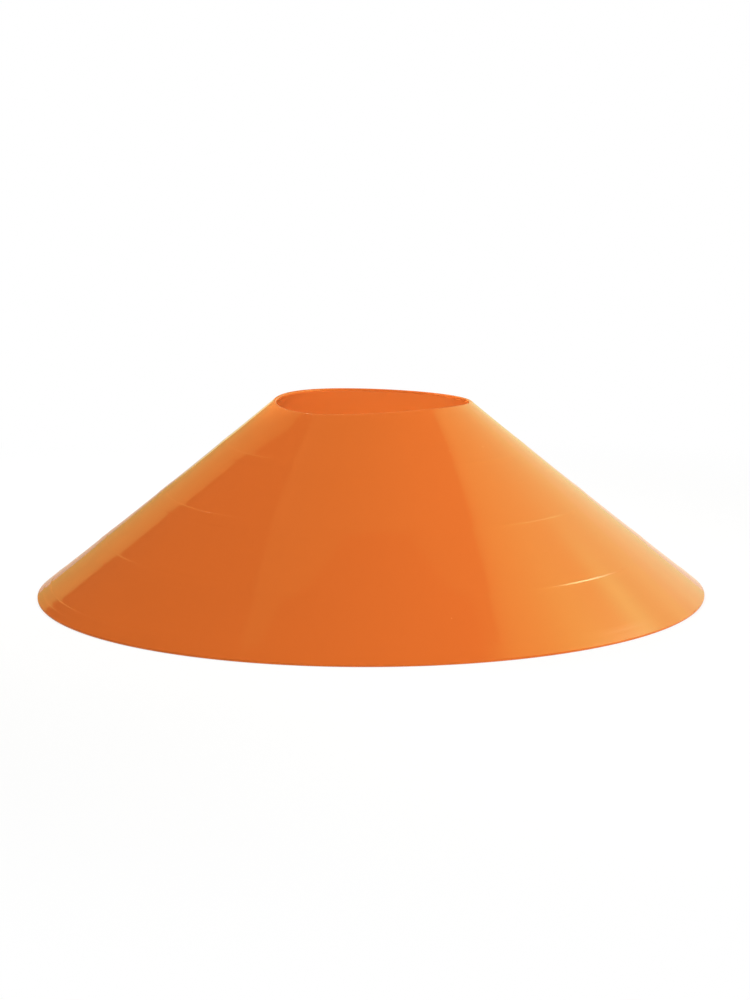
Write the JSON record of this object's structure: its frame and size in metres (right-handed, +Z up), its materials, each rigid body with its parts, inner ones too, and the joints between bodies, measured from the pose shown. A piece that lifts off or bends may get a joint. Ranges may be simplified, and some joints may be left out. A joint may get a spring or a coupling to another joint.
{
  "type": "sports marker cone",
  "caption": "Low open cone of glossy orange plastic with faint raised rings, a rounded lip around its top hole and a flat foot to stand on.",
  "frame": {"origin": "on the ground, at the centre of the base", "axes": "+Z up along the cone's own axis, from the base towards the hole in the top; +X to the right and +Y away from the camera of the picture"},
  "size_m": [0.19, 0.19, 0.0555],
  "materials": {
    "orange_plastic": "smooth, glossy and slightly translucent moulded orange polyethylene"
  },
  "bodies": {
    "root": {"cone_shell": "orange_plastic"}
  },
  "joints": []
}
